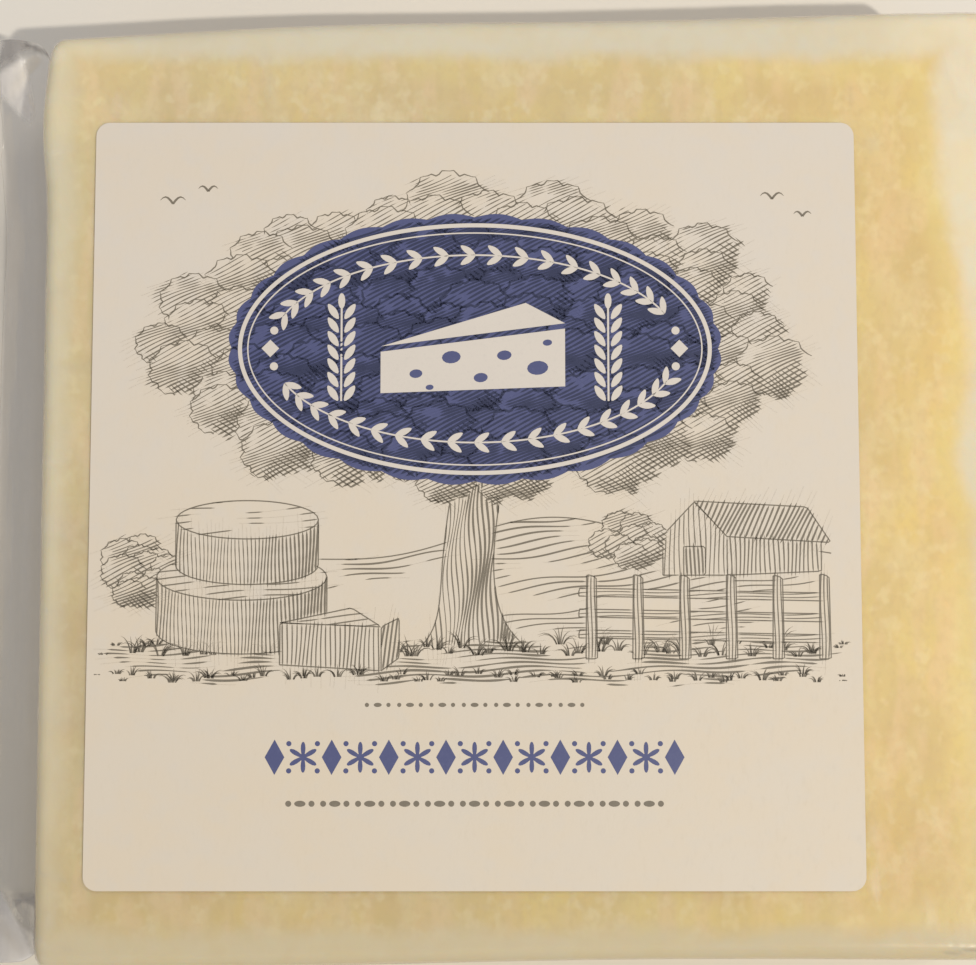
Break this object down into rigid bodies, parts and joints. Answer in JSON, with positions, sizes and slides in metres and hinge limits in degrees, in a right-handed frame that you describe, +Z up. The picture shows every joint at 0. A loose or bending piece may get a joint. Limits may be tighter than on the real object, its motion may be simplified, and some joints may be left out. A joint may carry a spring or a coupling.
{
  "type": "cheddar block",
  "caption": "Square block of cheddar sealed in tight clear film, with flat film flaps at two ends and a square printed paper label on its top",
  "frame": {"origin": "middle of the pack's outline, on the surface it lies on", "axes": "+X runs between the two sealed ends, to the reader's right; +Y points to the label's top edge; +Z is up, out of the label"},
  "size_m": [0.1154, 0.1004, 0.0206],
  "materials": {
    "cheese": "pale yellow cheddar, softly mottled, moist sheen under film",
    "film": "clear glossy film, milky where it is creased or sealed",
    "label_paper": "warm cream uncoated paper",
    "print_blue": "deep blue printing ink",
    "print_sepia": "brown-grey line engraving ink",
    "print_cream": "bare cream paper showing through the ink",
    "print_navy": "darker blue where line work lies under the blue"
  },
  "bodies": {
    "root": {"sealed_pack": "cheese", "label": "label_paper"}
  },
  "joints": []
}
